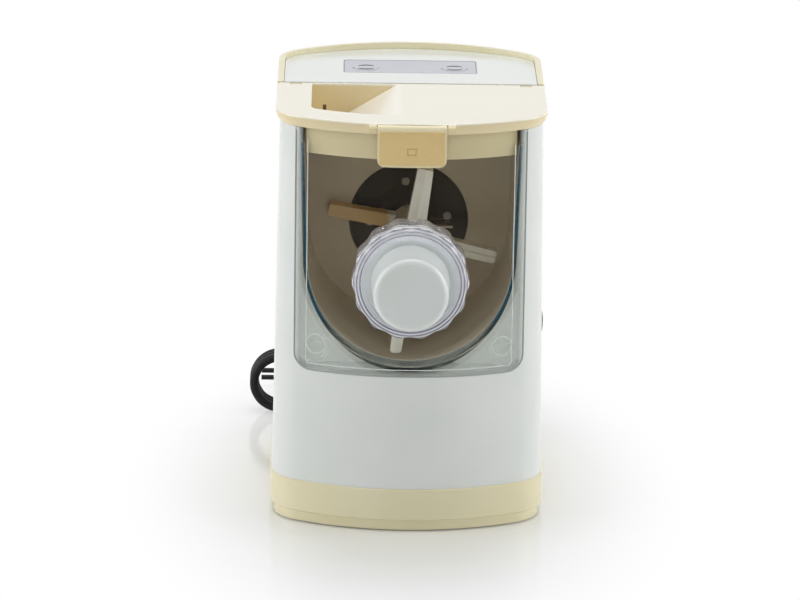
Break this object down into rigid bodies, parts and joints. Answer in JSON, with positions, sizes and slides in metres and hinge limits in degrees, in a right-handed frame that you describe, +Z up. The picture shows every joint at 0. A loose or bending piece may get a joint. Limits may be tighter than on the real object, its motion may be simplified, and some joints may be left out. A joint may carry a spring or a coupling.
{
  "type": "pasta maker",
  "caption": "Electric pasta maker with a hinged lid and pour hopper, a smoky mixing tank with paddle and auger, a screwed extruder nut with cap, a gear train and two buttons.",
  "frame": {"origin": "middle of the machine's footprint on the surface it stands on, its cord left out", "axes": "+Z up, -Y towards the front with the extruder nut, +X to the right seen from the front"},
  "size_m": [0.232, 0.4499, 0.311],
  "materials": {
    "body_white": "smooth satin white",
    "base_cream": "smooth warm cream",
    "lid_cream": "smooth pale cream",
    "inner_white": "plain moulded white",
    "food_white": "smooth white",
    "clear_plastic": "clear polished plastic",
    "smoky_plastic": "smoky polished plastic",
    "seal_teal": "soft dark teal",
    "hub_brown": "dark brown",
    "strip_lavender": "smooth pale lavender",
    "button_silver": "smooth pale silver",
    "steel": "machined",
    "gear_ivory": "moulded ivory",
    "motor_grey": "plated sheet",
    "black_plastic": "black",
    "cord_black": "black flexible",
    "foot_rubber": "black",
    "board_green": "circuit board"
  },
  "bodies": {
    "housing": {"body_shell": "body_white", "rear_cover": "body_white", "rear_screws": "steel", "base_tray": "base_cream", "feet": "foot_rubber", "base_screws": "steel", "chassis": "inner_white", "hub_plate": "hub_brown", "hub_screws": "steel", "shaft_seal": "foot_rubber", "front_bearing": "steel", "gear_plate": "steel", "gear_spacers": "steel", "motor_can": "motor_grey", "motor_brackets": "motor_grey", "motor_cradle": "inner_white", "motor_clamp": "steel", "power_board": "board_green", "safety_switch": "black_plastic", "rear_head": "base_cream", "control_panel": "body_white", "touch_strip": "strip_lavender", "button_board": "board_green", "hinge_pins": "steel", "front_panel": "clear_plastic", "tank": "smoky_plastic", "tank_seal": "seal_teal", "cord_gland": "cord_black", "mains_cord": "cord_black", "cord_hank": "cord_black", "cord_tie": "black_plastic", "plug_lead": "cord_black", "mains_plug": "cord_black"},
    "lid": {"lid": "lid_cream", "latch_pin": "steel"},
    "latch": {"latch": "base_cream"},
    "mixer": {"drive_shaft": "steel", "output_gear": "gear_ivory", "auger": "food_white", "mixing_paddle": "food_white"},
    "idler": {"idler_gear": "gear_ivory", "idler_shaft": "steel"},
    "motor_rotor": {"motor_shaft": "steel", "motor_pinion": "gear_ivory", "motor_fan": "black_plastic"},
    "outlet": {"outlet_cap": "food_white", "shaping_die": "food_white"},
    "nut": {"extruder_nut": "clear_plastic"},
    "power_button": {"power_button": "button_silver"},
    "program_button": {"program_button": "button_silver"}
  },
  "joints": [
    {"name": "lid_hinge", "type": "hinge", "parent": "housing", "child": "lid", "pos_m": [0, 0.02315, 0.3065], "axis": [-1, 0, 0], "range_deg": [0, 88]},
    {"name": "latch_hinge", "type": "hinge", "parent": "lid", "child": "latch", "pos_m": [0, -0.10065, 0.3077], "axis": [-1, 0, 0], "range_deg": [0, 100]},
    {"name": "mixer_spin", "type": "hinge", "parent": "housing", "child": "mixer", "pos_m": [0, 0, 0.2], "axis": [0, 1, 0], "continuous": true},
    {"name": "idler_spin", "type": "hinge", "parent": "housing", "child": "idler", "pos_m": [0, 0, 0.11975], "axis": [0, 1, 0], "continuous": true},
    {"name": "motor_spin", "type": "hinge", "parent": "housing", "child": "motor_rotor", "pos_m": [0, 0, 0.06975], "axis": [0, 1, 0], "continuous": true},
    {"name": "outlet_slide", "type": "slide", "parent": "housing", "child": "outlet", "axis": [0, -1, 0], "range_m": [0, 0.01]},
    {"name": "nut_turn", "type": "hinge", "parent": "outlet", "child": "nut", "pos_m": [0, -0.11965, 0.2], "axis": [0, -1, 0], "range_deg": [0, 360]},
    {"name": "power_press", "type": "slide", "parent": "housing", "child": "power_button", "axis": [0, -0.0348, -0.9994], "range_m": [0, 0.0008], "stiffness_N_per_m": 400, "springref_m": -0.003},
    {"name": "program_press", "type": "slide", "parent": "housing", "child": "program_button", "axis": [0, -0.0348, -0.9994], "range_m": [0, 0.0008], "stiffness_N_per_m": 400, "springref_m": -0.003}
  ],
  "couplings": [
    {"joint": "idler_spin", "follows": "mixer_spin", "ratio": -5.2941},
    {"joint": "motor_spin", "follows": "mixer_spin", "ratio": 32.521},
    {"joint": "outlet_slide", "follows": "nut_turn", "m_per_rad": 0.00159}
  ]
}
